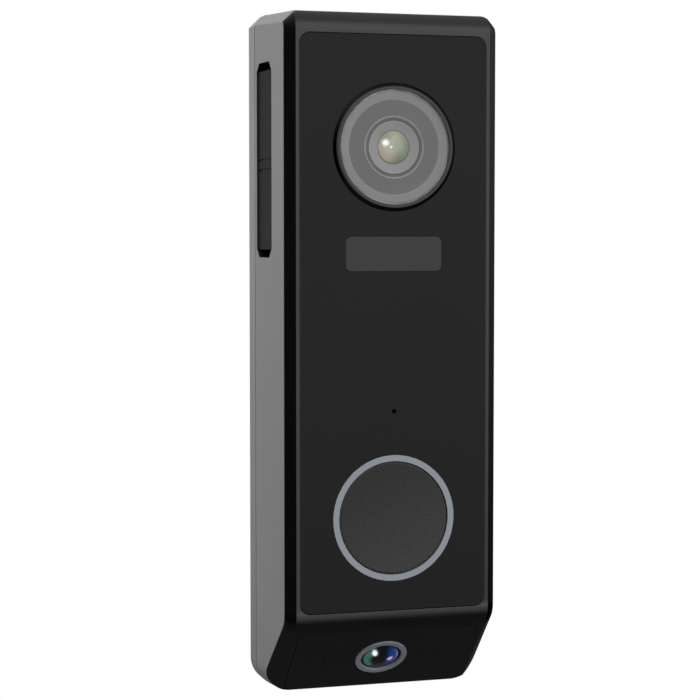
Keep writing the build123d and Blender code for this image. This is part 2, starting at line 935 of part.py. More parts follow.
def button_cap():
    dished = cap_front + cap_dish
    flat = cap_radius - cap_edge
    rim = ThreePointArc((0, dished), (flat / 2, cap_front + cap_dish * 3 / 4), (flat, cap_front))
    rest = Polyline(
        (flat, cap_front),
        (cap_radius, cap_front + cap_edge),
        (cap_radius, cap_lip_front()),
        (cap_radius + cap_lip, cap_lip_front()),
        (cap_radius + cap_lip, cap_back()),
        (cap_post_radius, cap_back()),
        (cap_post_radius, stem_top() - touch_gap),
        (0, stem_top() - touch_gap),
        (0, dished),
    )
    face = make_face(rim + rest)
    return Pos(0, -total_depth, button_z) * revolve(face, Axis.Y)


def stem_top():
    return button_board_depth - switch_height - stem_height


def switch_stem():
    shape = Pos(0, button_z) * Circle(stem_radius)
    return slab(shape, stem_top(), button_board_depth - switch_height + stem_root)


def switch_body():
    front = button_board_depth - switch_height
    body = slab(Pos(0, button_z) * Rectangle(switch_width, switch_width), front, button_board_depth)
    bore = Pos(0, button_z) * Circle(stem_radius + fit_gap)
    return body - slab(bore, front, front + stem_root + press_travel + touch_gap)


def button_board():
    board = Pos(0, button_z) * Circle(button_board_radius)
    board += Pos(0, button_z) * SlotOverall(2 * (ear_reach + ear_radius), 2 * ear_radius)
    for place in ear_places:
        board -= Pos(*place) * Circle(screw_radius + fit_gap)
    return slab(board, button_board_depth, button_board_depth + button_board_thickness)


def button_board_screws():
    seat = button_board_depth + button_board_thickness
    length = seat - front_inset - slide_gap
    return group(
        screw(x, z, seat, screw_head_radius, screw_head, screw_radius, length) for x, z in ear_places
    )


def ring_leds():
    middle = ring_radius - ring_skirt / 2
    start = button_board_depth - ring_led_height
    led = Rectangle(ring_led_width, ring_led_width)
    return group(
        slab(Pos(0, button_z) * place * led, start, button_board_depth)
        for place in PolarLocations(middle, ring_led_count, start_angle=180 / ring_led_count)
    )


def button_membrane():
    top = cap_back() + touch_gap
    foot = button_board_depth - membrane_wall
    inner = membrane_top_radius - 2 * membrane_wall
    return turned(
        button_z,
        (inner, top),
        (membrane_top_radius, top),
        (membrane_foot_radius - membrane_wall, foot),
        (membrane_foot_radius, foot),
        (membrane_foot_radius, button_board_depth),
        (membrane_foot_radius - 2 * membrane_wall, button_board_depth),
        (membrane_top_radius - membrane_wall / 2, top + membrane_wall),
        (inner, top + membrane_wall),
    )


# Main board and what it carries


def main_board():
    height = board_top - board_bottom
    board = RectangleRounded(board_width, height, block_corner)
    board = Pos(0, (board_top + board_bottom) / 2) * board
    for place in board_screw_places:
        board -= Pos(*place) * Circle(screw_radius + fit_gap)
    return slab(board, board_depth, board_back)


def board_screws():
    return group(
        screw(x, z, board_back, screw_head_radius, screw_head, screw_radius, board_screw_length)
        for x, z in board_screw_places
    )


def shield_can():
    shape = RectangleRounded(shield_width, shield_top - shield_low, block_corner)
    shape = Pos(0, (shield_top + shield_low) / 2) * shape
    can = slab(shape, board_depth - shield_thickness, board_depth)
    return fillet(can.faces().sort_by(Axis.Y)[0].edges(), shield_edge)


def antenna_strip():
    z = board_top - antenna_margin - antenna_height / 2
    shape = Pos(0, z) * Rectangle(antenna_width, antenna_height)
    return slab(shape, board_back, board_back + antenna_thickness)


# Ports in the left side


def cover_piece(low, high):
    """Part of the rubber port cover between two heights along the slot."""
    band = Pos(0, (low + high) / 2) * Rectangle(slot_width, high - low)
    return side_slab(slot_outline(slot_gap) & band, flap_sink, flap_back)


def flap_root(side):
    """Height along the slot of a flap's hinged edge: above the anchor for 1, below for -1."""
    return anchor_offset + side * (anchor_width / 2 + groove / 2)


def flap_end(side):
    return side * (slot_length / 2 - nail_gap)


def plug(width, height, offset):
    """The boss on a flap that fills an opening."""
    shape = mouth(width - 2 * plug_gap, height - 2 * plug_gap, offset)
    return side_slab(shape, flap_back, flap_back + plug_depth)


def port_anchor():
    reach = anchor_width / 2 - groove / 2
    strip = cover_piece(anchor_offset - reach, anchor_offset + reach)
    peg = Pos(0, anchor_offset) * Rectangle(peg_length, peg_width)
    return strip + side_slab(peg, flap_back, port_floor_back)


def upper_flap():
    flap = cover_piece(flap_root(1), flap_end(1))
    return flap + plug(card_width, card_height + 2 * mouth_gap, card_offset)


def lower_flap():
    flap = cover_piece(flap_end(-1), flap_root(-1))
    return flap + plug(usb_width + 2 * mouth_gap, usb_height + 2 * mouth_gap, usb_offset)


def port_mouth_x():
    """Place of the connectors' mouths, just inside the well's floor."""
    return side_x + port_floor_back + slide_gap


def on_board(width, height, length, offset, lift, start):
    """A block on the back of the main board, its width up the slot and its length inwards."""
    middle = port_mouth_x() + start + length / 2
    shape = Pos(middle, slot_z + offset) * Rectangle(length, width)
    return slab(shape, board_back + lift, board_back + lift + height)


def usb_connector():
    shell = on_board(usb_width, usb_height, usb_length, usb_offset, 0, 0)
    runs = [e for e in shell.edges() if abs((e @ 1).X - (e @ 0).X) > usb_length / 2]
    shell = fillet(runs, usb_round)
    bore_width = usb_width - 2 * usb_shell
    bore_height = usb_height - 2 * usb_shell
    deep = usb_length - connector_back
    bore = on_board(bore_width, bore_height, deep, usb_offset, usb_shell, 0)
    lift = (usb_height - usb_tongue) / 2
    tongue = on_board(usb_tongue_width, usb_tongue, deep, usb_offset, lift, connector_back)
    return shell - bore + tongue


def card_slot():
    cage = on_board(card_width, card_height, card_length, card_offset, 0, 0)
    lift = (card_height - card_slot_height) / 2
    deep = card_length - connector_back
    return cage - on_board(card_slot_width, card_slot_height, deep, card_offset, lift, 0)


def reset_plunger():
    stem = Pos(0, reset_offset) * Circle(reset_radius)
    head = Pos(0, reset_offset) * Circle(reset_head_radius)
    head_start = port_floor_back + slide_gap
    plunger = side_slab(stem, port_floor_top + fit_gap, head_start)
    return plunger + side_slab(head, head_start, head_start + reset_head)


def reset_switch():
    start = reset_head + reset_travel + touch_gap
    return on_board(reset_body, reset_body_height, reset_body, reset_offset, 0, start)


# Lower camera


def chin_trim_ring():
    edge = chin_ring_rise / 2
    return chin_turned(
        (chin_ring_bore, -chin_ring_rise + edge),
        (chin_ring_bore + edge, -chin_ring_rise),
        (chin_ring_radius - edge, -chin_ring_rise),
        (chin_ring_radius, -chin_ring_rise + edge),
        (chin_ring_radius, chin_panel_thickness),
        (chin_ring_bore, chin_panel_thickness),
    )


def chin_lens_barrel():
    seat = chin_barrel_face + chin_lens_seat
    back = chin_barrel_face + chin_barrel_length
    return chin_turned(
        (chin_lens_radius + glass_gap, chin_barrel_face),
        (chin_barrel_radius, chin_barrel_face),
        (chin_barrel_radius, back),
        (rear_lens_radius, back),
        (rear_lens_radius, seat),
        (chin_lens_radius + glass_gap, seat),
    )


def chin_lens():
    plane = chin_face.offset(-chin_barrel_face)
    return plane.location * domed_lens(chin_lens_radius, chin_lens_dome, chin_lens_seat)


def chin_board_front():
    return front_inset + chin_holder_depth


def chin_camera_holder():
    block = RectangleRounded(chin_holder_width, chin_holder_width, block_corner)
    shape = block - Circle(chin_barrel_radius + screw_gap)
    return chin_slab(shape, front_inset, chin_board_front())


def chin_sensor():
    shape = Rectangle(chin_sensor_width, chin_sensor_width)
    return chin_slab(shape, chin_board_front() - chin_sensor_thickness, chin_board_front())


def chin_camera_board():
    shape = RectangleRounded(chin_board_width, chin_board_height, block_corner)
    return chin_slab(shape, chin_board_front(), chin_board_front() + chin_board_thickness)


def chin_ir_leds():
    shape = Rectangle(ir_led_width, ir_led_width)
    start = chin_board_front() - ir_led_height
    return group(chin_slab(Pos(x, 0) * shape, start, chin_board_front()) for x in ir_window_places)


def chin_camera_flex():
    """A flat flexible strip from the lower camera's board up to the main board."""
    back = chin_board_front() + chin_board_thickness + flex_thickness / 2
    lower = chin_face.from_local_coords((0, chin_board_height / 2 - flex_lap, -back))
    bend = chin_face.from_local_coords((0, chin_board_height / 2 + flex_lap, -back))
    y = board_back + flex_thickness / 2 - total_depth
    path = FilletPolyline(
        lower,
        bend,
        (0, y, board_bottom - flex_lap),
        (0, y, board_bottom + flex_lap),
        radius=flex_radius,
    )
    start = Plane(origin=path @ 0, x_dir=(1, 0, 0), z_dir=path % 0)
    return sweep(start * Rectangle(flex_width, flex_thickness), path)


# Battery and speaker


def battery_pack():
    shape = Pos(0, battery_z) * Rectangle(battery_width, battery_length)
    pack = slab(shape, inner_floor - battery_thickness, inner_floor)
    runs = [e for e in pack.edges() if abs((e @ 1).Z - (e @ 0).Z) > battery_length / 2]
    return fillet(runs, battery_radius)


def plug_z():
    return battery_top + plug_rise


def battery_plug():
    shape = Pos(lead_offset, plug_z() + plug_height / 2) * Rectangle(plug_width, plug_height)
    return slab(shape, board_back, board_back + plug_thickness)


def battery_lead():
    start_y = inner_floor - battery_thickness / 2 - total_depth
    end_y = board_back + plug_thickness / 2 - total_depth
    middle = (battery_top + plug_z()) / 2
    wires = []
    for side in (-1, 1):
        x = lead_offset + side * lead_spacing / 2
        path = FilletPolyline(
            (x, start_y, battery_top),
            (x, start_y, middle - lead_bend / 2),
            (x, end_y, middle + lead_bend / 2),
            (x, end_y, plug_z()),
            radius=lead_bend,
        )
        wires.append(sweep(Plane(origin=path @ 0, z_dir=path % 0) * Circle(lead_radius), path))
    return group(wires)


def speaker_back():
    return total_depth - lug_depth - fit_gap - lug_shell


def speaker_front():
    """Depth of the speaker's front, just behind the lower edge of the chin camera's board."""
    back = chin_board_front() + chin_board_thickness
    corner = chin_face.from_local_coords((0, -chin_board_height / 2, -back))
    return corner.Y + total_depth + speaker_gap


def speaker_z():
    return battery_low - slide_gap - speaker_height / 2


def speaker():
    shape = RectangleRounded(speaker_width, speaker_height, speaker_radius)
    back = speaker_back()
    box = slab(Pos(0, speaker_z()) * shape, speaker_front(), back)
    return box - slab(Pos(0, speaker_z()) * Circle(cone_radius), back - cone_depth, back)


def speaker_gasket():
    start = outlet_start() - gasket_wall
    low = bottom_z + wall + (seam_depth - start) * tan(lean)
    high = speaker_z() - speaker_height / 2
    outline = Pos(0, (low + high) / 2) * Rectangle(gasket_width, high - low)
    duct = Pos(0, (low + high) / 2) * Rectangle(gasket_width - 2 * gasket_wall, high - low)
    block = slab(outline, start, start + gasket_thickness)
    return block - slab(duct, start + gasket_wall, start + gasket_thickness - gasket_wall)


pieces = [
    main_housing,
    front_panel,
    panel_tape,
    chin_panel,
    chin_ir_windows,
    rear_cover,
    rear_seal,
    case_screws,
    wall_bracket,
    security_screw,
    camera_bezel,
    camera_hood,
    camera_window,
    lens_barrel,
    front_lens,
    rear_lens,
    camera_holder,
    image_sensor,
    camera_board,
    ir_leds,
    ir_led_board,
    pir_window,
    pir_sensor,
    microphone,
    mic_boot,
    button_cap,
    button_light_ring,
    switch_stem,
    switch_body,
    button_board,
    button_board_screws,
    ring_leds,
    button_membrane,
    main_board,
    board_screws,
    shield_can,
    antenna_strip,
    port_anchor,
    upper_flap,
    lower_flap,
    usb_connector,
    card_slot,
    reset_plunger,
    reset_switch,
    chin_trim_ring,
    chin_lens_barrel,
    chin_lens,
    chin_camera_holder,
    chin_sensor,
    chin_camera_board,
    chin_ir_leds,
    chin_camera_flex,
    battery_pack,
    battery_plug,
    battery_lead,
    speaker,
    speaker_gasket,
]

os.makedirs("parts", exist_ok=True)
for piece in pieces:
    export_step(piece(), f"parts/{piece.__name__}.step")
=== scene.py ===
from math import radians

import bmesh
import bpy
from mathutils import Matrix, Vector


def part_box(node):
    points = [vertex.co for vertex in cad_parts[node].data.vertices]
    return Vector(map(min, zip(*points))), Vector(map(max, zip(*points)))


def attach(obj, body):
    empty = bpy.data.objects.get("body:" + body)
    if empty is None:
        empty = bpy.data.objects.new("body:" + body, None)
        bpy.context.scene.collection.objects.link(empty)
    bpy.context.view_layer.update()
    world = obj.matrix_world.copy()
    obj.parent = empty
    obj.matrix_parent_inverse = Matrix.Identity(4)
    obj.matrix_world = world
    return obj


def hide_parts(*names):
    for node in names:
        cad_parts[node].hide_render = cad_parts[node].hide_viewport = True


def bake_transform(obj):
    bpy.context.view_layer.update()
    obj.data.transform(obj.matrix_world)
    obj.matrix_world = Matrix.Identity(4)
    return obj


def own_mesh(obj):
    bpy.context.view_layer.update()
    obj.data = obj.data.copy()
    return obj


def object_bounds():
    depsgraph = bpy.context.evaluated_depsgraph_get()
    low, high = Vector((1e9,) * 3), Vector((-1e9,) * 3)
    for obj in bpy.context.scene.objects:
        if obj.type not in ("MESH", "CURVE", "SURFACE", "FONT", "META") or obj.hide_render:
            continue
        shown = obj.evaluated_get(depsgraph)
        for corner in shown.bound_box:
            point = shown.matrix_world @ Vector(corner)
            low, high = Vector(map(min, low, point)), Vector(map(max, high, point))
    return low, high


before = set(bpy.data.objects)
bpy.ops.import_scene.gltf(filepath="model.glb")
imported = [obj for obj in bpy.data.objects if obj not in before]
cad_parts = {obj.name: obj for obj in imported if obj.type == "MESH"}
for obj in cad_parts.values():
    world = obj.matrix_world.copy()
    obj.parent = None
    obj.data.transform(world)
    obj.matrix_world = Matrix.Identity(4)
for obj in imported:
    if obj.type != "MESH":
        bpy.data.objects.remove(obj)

# Looks of the video doorbell: a finish for every CAD node, the rubber dome and webs,
# a pale floor, soft light and the camera.
# Lengths are in metres, in the frame of the CAD part: the front faces -Y and +Z is up.

cad_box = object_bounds()


def middle(piece_name):
    """The middle of a CAD node's box."""
    low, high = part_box(piece_name)
    return (low + high) / 2


# Camera, with its focal length in millimetres, and floor
camera_place = Vector((-0.13527, -0.43843, 0.02716))
camera_target = Vector((-0.00985, -0.03, 0.00193))
camera_lens = 103.27
floor_drop = 0.4
floor_half = 0.7

# Housing: its front, the seam to the rear cover, the bend to the chin and the middle of the side slot
front_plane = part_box("main_housing")[0].y
seam_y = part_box("main_housing")[1].y
chin_bend_z = -0.054
slot_z = (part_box("lower_flap")[0].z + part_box("upper_flap")[1].z) / 2
slot_wall_half = 0.01845

# Faces that carry round finishes: a point of each and its turn about X
upper_lens_place = (0, front_plane, middle("camera_window").z)
button_z = middle("button_cap").z
button_place = (0, front_plane, button_z)
front_turn = radians(90)
chin_lens_place = (0, -0.021037, -0.066590)
chin_turn = radians(134.1)

# Radii on the upper camera, from the outside in
bezel_face_radius = 0.01287
bezel_ledge_radius = 0.0122
dish_floor_radius = 0.01006
dish_line_outer, dish_line_inner = 0.006675, 0.006385
barrel_face_radius = 0.00563
barrel_line_radius = 0.00362
upper_lens_radius = 0.0034

# Radii on the button and the lower lens
button_edge_radius = 0.01182
chin_lens_radius = 0.00392

# Rubber dome behind the button: radii, wall and the places of its front and its board
dome_hole, dome_crown, dome_skirt, dome_foot = 0.0054, 0.0070, 0.0107, 0.0115
dome_wall = 0.0008
dome_rounding = 0.0002
dome_front_y = -0.0262
button_board_y = -0.022

# Port cover: the ends of its outer face, the way into the housing, and the depths of its webs
cover_rear = Vector((-0.024331, -0.008888, 0))
cover_front = Vector((-0.023855, -0.019175, 0))
cover_inward = Vector((0.998931, 0.046235, 0))
web_front, web_back = 0.00036, 0.00062
web_clearance = 0.000015


def feed(tree, socket, value):
    """Links an input to another socket, or sets a plain value on it."""
    if isinstance(value, bpy.types.NodeSocket):
        tree.links.new(value, socket)
    else:
        socket.default_value = value


def node(tree, kind, **inputs):
    """A shader node with its inputs fed, each by its name or by its number, as in i0."""
    made = tree.nodes.new(kind)
    for key, value in inputs.items():
        label = int(key[1:]) if key[1:].isdigit() else key.replace("_", " ")
        feed(tree, made.inputs[label], value)
    return made


def calc(tree, operation, a, b=0.0, c=0.0, clamp=False):
    """One step of arithmetic."""
    made = node(tree, "ShaderNodeMath", i0=a, i1=b, i2=c)
    made.operation = operation
    made.use_clamp = clamp
    return made.outputs[0]


def times(tree, product, *masks):
    """The product of several masks."""
    for mask in masks:
        product = calc(tree, "MULTIPLY", product, mask)
    return product


def parts(tree, vector):
    """The X, Y and Z of a vector."""
    return node(tree, "ShaderNodeSeparateXYZ", i0=vector).outputs


def mixed(tree, factor, a, b):
    """Colour a where the factor is 0 and colour b where it is 1."""
    made = tree.nodes.new("ShaderNodeMix")
    made.data_type = "RGBA"
    for index, value in ((0, factor), (6, a), (7, b)):
        feed(tree, made.inputs[index], value)
    return made.outputs[2]


def grey(value):
    return (value, value, value, 1.0)


def local(tree, place, turn):
    """Coordinates on a face: X to the right, Y up the face and Z out of it."""
    coords = tree.nodes.new("ShaderNodeTexCoord").outputs["Object"]
    made = node(tree, "ShaderNodeMapping", Vector=coords, Location=place, Rotation=(turn, 0, 0))
    made.vector_type = "TEXTURE"
    return made.outputs[0]


def away(tree, coords, x=0, y=0):
    """Distance across the face from a point of it."""
    flat = node(tree, "ShaderNodeVectorMath", i0=coords, i1=(1, 1, 0))
    flat.operation = "MULTIPLY"
    made = node(tree, "ShaderNodeVectorMath", i0=flat.outputs[0], i1=(x, y, 0))
    made.operation = "DISTANCE"
    return made.outputs["Value"]


def ramp(tree, value, start, end):
    """0 at the start value, 1 at the end value."""
    return node(tree, "ShaderNodeMapRange", i0=value, i1=start, i2=end).outputs[0]


def fade(tree, value, start, end, strength=1.0):
    """The strength up to the start value and 0 past the end value, with a smooth run between them."""
    made = node(tree, "ShaderNodeMapRange", i0=value, i1=start, i2=end, i3=strength, i4=0.0)
    made.interpolation_type = "SMOOTHSTEP"
    return made.outputs[0]


def inside(tree, distance, limit, blur=0.00002):
    """1 where a distance is under its limit and 0 past it."""
    return fade(tree, distance, limit - blur, limit + blur)


def spot(tree, coords, x, y, inner, outer):
    """1 near a point of a face, 0 past the outer distance from it."""
    return fade(tree, away(tree, coords, x, y), inner, outer)


def across_face(tree, coords, right, up):
    """A slow change across a face: 0.5 at its middle, with its rise per metre to the right and up."""
    x, y = parts(tree, coords)[:2]
    level = calc(tree, "MULTIPLY_ADD", x, right, 0.5)
    return calc(tree, "MULTIPLY_ADD", y, up, level, clamp=True)


def new_group(name, inputs, outputs):
    group = bpy.data.node_groups.new(name, "ShaderNodeTree")
    for label, kind in inputs.items():
        group.interface.new_socket(label, in_out="INPUT", socket_type=kind)
    for label, kind in outputs.items():
        group.interface.new_socket(label, in_out="OUTPUT", socket_type=kind)
    return group, group.nodes.new("NodeGroupInput"), group.nodes.new("NodeGroupOutput")


def moulded_grain():
    """Fine spark-eroded grain with slow changes of tone and gloss."""
    colour, value = "NodeSocketColor", "NodeSocketFloat"
    group, given, put = new_group(
        "moulded_grain",
        inputs={
            "Base": colour,
            "Tone": value,
            "Roughness": value,
            "Spread": value,
            "Grain": value,
            "Speck": value,
        },
        outputs={"Colour": colour, "Roughness": value, "Height": value},
    )
    base, tone, roughness, spread, scale, speck = given.outputs[:6]
    place = group.nodes.new("ShaderNodeTexCoord").outputs["Object"]
    fine = node(group, "ShaderNodeTexNoise", Vector=place, Scale=scale, Detail=3.0).outputs[0]
    slow = node(group, "ShaderNodeTexNoise", Vector=place, Scale=45.0, Detail=4.0).outputs[0]
    specks = calc(group, "MULTIPLY_ADD", fine, 2.0, -1.0)
    change = calc(group, "MULTIPLY_ADD", slow, 2.0, -1.0)
    gain = calc(group, "MULTIPLY_ADD", change, tone, 1.0)
    gain = calc(group, "MULTIPLY_ADD", specks, speck, gain)
    scaled = node(group, "ShaderNodeVectorMath", i0=base, i3=gain)
    scaled.operation = "SCALE"
    both = calc(group, "ADD", change, specks)
    rough = calc(group, "MULTIPLY_ADD", both, spread, roughness, clamp=True)
    group.links.new(scaled.outputs[0], put.inputs["Colour"])
    group.links.new(rough, put.inputs["Roughness"])
    group.links.new(fine, put.inputs["Height"])
    return group


grain_group = moulded_grain()


def new_material(name):
    material = bpy.data.materials.new(name)
    material.use_nodes = True
    return material, material.node_tree, material.node_tree.nodes["Principled BSDF"]


def plain(shader, **values):
    """Sets what is the same all over a surface on the shader's own sockets."""
    for label, value in values.items():
        shader.inputs[label.replace("_", " ")].default_value = value


def grain(tree, base, rough, tone=0.06, spread=0.03, scale=2500.0, speck=0.05):
    """The moulded grain, with a material's own values."""
    made = tree.nodes.new("ShaderNodeGroup")
    made.node_tree = grain_group
    values = dict(Base=base, Tone=tone, Roughness=rough, Spread=spread, Grain=scale, Speck=speck)
    for label, value in values.items():
        feed(tree, made.inputs[label], value)
    return made


def surface(tree, shader, made, bump):
    """Feeds a grain into a shader, with the grain's bump depth in metres."""
    tree.links.new(made.outputs["Colour"], shader.inputs["Base Color"])
    tree.links.new(made.outputs["Roughness"], shader.inputs["Roughness"])
    lift = node(tree, "ShaderNodeBump", Height=made.outputs["Height"], Strength=1.0, Distance=bump)
    tree.links.new(lift.outputs[0], shader.inputs["Normal"])


def moulded(name, colour, rough, bump=0.00001, **shader_values):
    """A moulded or painted finish with a fine grain."""
    material, tree, shader = new_material(name)
    surface(tree, shader, grain(tree, (*colour, 1.0), rough), bump)
    plain(shader, **shader_values)
    return material


def housing_satin():
    """Grey satin sides that run into a near-black frame where the housing turns to the front, with
    painted light and shade on the sides, the rim, the bend and the bevels.
    """
    side_shaded_low, side_lit_high, rear_foot_shade = (0.205, 0.205, 0.207, 1), (0.245, 0.245, 0.247, 1), grey(0.085)
    rim_grey, rim_shade_low_right, bend_highlight_grey = grey(0.029), grey(0.003), grey(0.055)
    bevel_left_lit, bevel_right_shaded, slot_grey = grey(0.0065), grey(0.0018), grey(0.07)
    side_rough, rim_gloss, bend_gloss = 0.42, -0.08, -0.10

    material, tree, shader = new_material("housing_satin")
    coords = tree.nodes.new("ShaderNodeTexCoord")
    across, forward, up = parts(tree, coords.outputs["Normal"])
    right, depth, height = parts(tree, coords.outputs["Object"])

    # Painted light and shade: the grey sides are painted lighter towards the top and darker towards the
    # bottom.
    painted_top_light = ramp(tree, height, 0.0, 0.04)
    side = mixed(tree, painted_top_light, side_shaded_low, side_lit_high)
    # Painted shade: the left side of the rear cover is painted darker towards its foot.
    behind_seam = ramp(tree, depth, seam_y - 0.0002, seam_y + 0.0002)
    left_face = ramp(tree, across, -0.5, -0.8)
    shade_downwards = ramp(tree, height, 0.03, -0.062)
    side = mixed(tree, times(tree, behind_seam, left_face, shade_downwards), side, rear_foot_shade)

    # Painted shade: the rim is painted darker towards its lower right.
    right_rim = ramp(tree, right, 0.018, 0.021)
    lower_part = ramp(tree, height, 0.025, -0.06)
    rim = mixed(tree, times(tree, right_rim, lower_part), rim_grey, rim_shade_low_right)
    # Painted highlight: the bend down to the chin is painted paler than the rest of the rim.
    below_bend = ramp(tree, height, chin_bend_z + 0.0005, chin_bend_z - 0.0005)
    above_chin = ramp(tree, up, -0.66, -0.60)
    bend = times(tree, below_bend, above_chin)
    rim = mixed(tree, bend, rim, bend_highlight_grey)

    # Painted light and shade: the left bevel is painted lighter than the right bevel.
    bevel = mixed(tree, ramp(tree, across, -0.2, 0.2), bevel_left_lit, bevel_right_shaded)
    sideways = calc(tree, "ABSOLUTE", across)
    downward = calc(tree, "MULTIPLY", up, -1.0)
    slanted = ramp(tree, calc(tree, "MAXIMUM", sideways, downward), 0.06, 0.30)
    rim = mixed(tree, slanted, rim, bevel)
    behind_frame = ramp(tree, depth, -0.024, -0.022)
    from_slot = calc(tree, "ABSOLUTE", calc(tree, "SUBTRACT", height, slot_z))
    slot_wall = times(tree, behind_frame, inside(tree, from_slot, slot_wall_half, blur=0.00015))
    rim = mixed(tree, slot_wall, rim, slot_grey)

    frame_zone = ramp(tree, forward, -0.1, -0.35)
    base = mixed(tree, frame_zone, side, rim)
    rough = calc(tree, "MULTIPLY_ADD", frame_zone, rim_gloss, side_rough)
    rough = calc(tree, "MULTIPLY_ADD", times(tree, bend, frame_zone), bend_gloss, rough)
    surface(tree, shader, grain(tree, base, rough, scale=2600.0, speck=0.18), bump=0.00001)
    return material


def panel_satin():
    """Black panel; its side walls, down in the gap round it, are painted pale, a painted light that
    lifts the shade in that gap.
    """
    panel_black, side_wall_light = (0.003, 0.003, 0.0032, 1), grey(0.4)
    material, tree, shader = new_material("panel_satin")
    coords = tree.nodes.new("ShaderNodeTexCoord")
    across = calc(tree, "ABSOLUTE", parts(tree, coords.outputs["Normal"])[0])
    from_middle = calc(tree, "ABSOLUTE", parts(tree, coords.outputs["Object"])[0])
    # Painted light: the panel's side walls are painted pale where the gap round the panel is in shade.
    sides = times(tree, ramp(tree, across, 0.6, 0.9), ramp(tree, from_middle, 0.0198, 0.0200))
    surface(tree, shader, grain(tree, mixed(tree, sides, panel_black, side_wall_light), 0.30), bump=0.000003)
    plain(shader, Specular_IOR_Level=0.2)
    return material


def dish_tone_painted_light(tree, coords, lower_left, upper_right):
    """Pale grey round the upper camera, painted lighter towards the upper right: a painted light that
    evens out the shade there.
    """
    return mixed(tree, across_face(tree, coords, 22.0, 40.0), grey(lower_left), grey(upper_right))


def nested_discs(tree, distance, outside, discs):
    """Tones of discs that lie one inside the other, from the largest to the smallest."""
    base = outside
    for radius, tone in discs:
        base = mixed(tree, inside(tree, distance, radius), base, grey(tone))
    return base


def bezel_satin():
    """Black trim: its left slope is painted grey near the top, partly a painted light on that shaded
    slope, and its ledge is painted paler than the dish, a painted light on the ledge's shade.
    """
    foot_black, slope_grey_and_light, face_black = grey(0.0015), grey(0.13), grey(0.02)
    slope_shift = -0.00025
    material, tree, shader = new_material("bezel_satin")
    forward = parts(tree, tree.nodes.new("ShaderNodeTexCoord").outputs["Normal"])[1]
    flat = ramp(tree, forward, -0.8, -0.95)
    coords = local(tree, upper_lens_place, front_turn)
    # Painted light: part of the left slope is painted grey to lift its shade, as well as to widen the
    # grey face.
    upper = inside(tree, away(tree, coords, slope_shift), bezel_face_radius, blur=0.00003)
    base = mixed(tree, upper, foot_black, mixed(tree, flat, slope_grey_and_light, face_black))
    # Painted light: the ledge is painted paler than the dish, which lifts the shade that falls on it.
    ledge = times(tree, flat, inside(tree, away(tree, coords), bezel_ledge_radius, blur=0.00001))
    base = mixed(tree, ledge, base, dish_tone_painted_light(tree, coords, 0.62, 0.9))
    surface(tree, shader, grain(tree, base, 0.3), bump=0.000002)
    return material


def hood_grey():
    """Pale grey dish: lighter on its cone and on the raised line, darker on its floor."""
    discs = ((dish_floor_radius, 0.265), (dish_line_outer, 0.55), (dish_line_inner, 0.225))
    material, tree, shader = new_material("hood_grey")
    coords = local(tree, upper_lens_place, front_turn)
    # The dish tone is painted lighter towards the upper right, a painted light.
    base = nested_discs(tree, away(tree, coords), dish_tone_painted_light(tree, coords, 0.39, 0.595), discs)
    surface(tree, shader, grain(tree, base, 0.5, speck=0.03), bump=0.000003)
    return material


def barrel_grey():
    """Grey barrel face with a darker outer edge and a dark line round the lens."""
    discs = ((barrel_face_radius, 0.50), (barrel_line_radius, 0.24))
    material, tree, shader = new_material("barrel_grey")
    coords = local(tree, upper_lens_place, front_turn)
    base = nested_discs(tree, away(tree, coords), grey(0.32), discs)
    surface(tree, shader, grain(tree, base, 0.5, speck=0.03), bump=0.000003)
    return material


def lens_coating():
    """Coated upper lens: painted coating reflections, rosy beige on the left and green on the right,
    with a painted glint a little left of its middle.
    """
    green, rosy, olive = (0.29, 0.345, 0.25, 1), (0.57, 0.51, 0.42, 1), (0.38, 0.41, 0.27, 1)
    glint_halo, dot, edge = (0.33, 0.38, 0.31, 1), (0.85, 1.0, 0.97, 1), (0.28, 0.29, 0.26, 1)
    glint_x = -0.0008
    # Painted reflections: tinted spots of the coating, and a bright painted glint with its halo.
    spots = (
        (-0.0026, -0.0012, 0.0012, 0.0040, rosy),
        (0.0002, 0.0030, 0.0004, 0.0026, olive),
        (glint_x, 0, 0.0003, 0.0010, glint_halo),
        (glint_x, 0, 0.0002, 0.0004, dot),
    )
    material, tree, shader = new_material("lens_coating")
    coords = local(tree, upper_lens_place, front_turn)
    base = green
    for x, y, inner, outer, colour in spots:
        base = mixed(tree, spot(tree, coords, x, y, inner, outer), base, colour)
    base = mixed(tree, inside(tree, away(tree, coords), upper_lens_radius, blur=0.0001), edge, base)
    tree.links.new(base, shader.inputs["Base Color"])
    plain(shader, Roughness=0.12, IOR=1.7)
    return material


def button_matte():
    """Grainy black button, painted a little lighter towards its lower right and on its rounded edge:
    painted light on its dished face and in the shaded gap round it.
    """
    shaded_upper_left, lit_lower_right, edge_light = grey(0.014), grey(0.034), grey(0.10)
    edge_half = 0.0001
    material, tree, shader = new_material("button_matte")
    coords = local(tree, button_place, front_turn)
    # Painted light and shade: the face is painted lighter towards the lower right, as light falls on a
    # dished face.
    base = mixed(tree, across_face(tree, coords, 36.0, -40.0), shaded_upper_left, lit_lower_right)
    # Painted light: the rounded edge is painted grey to lift the shade in the gap round the button.
    start, end = button_edge_radius - edge_half, button_edge_radius + edge_half
    base = mixed(tree, ramp(tree, away(tree, coords), start, end), base, edge_light)
    surface(tree, shader, grain(tree, base, 0.5, scale=2600.0, speck=0.9), bump=0.00006)
    return material


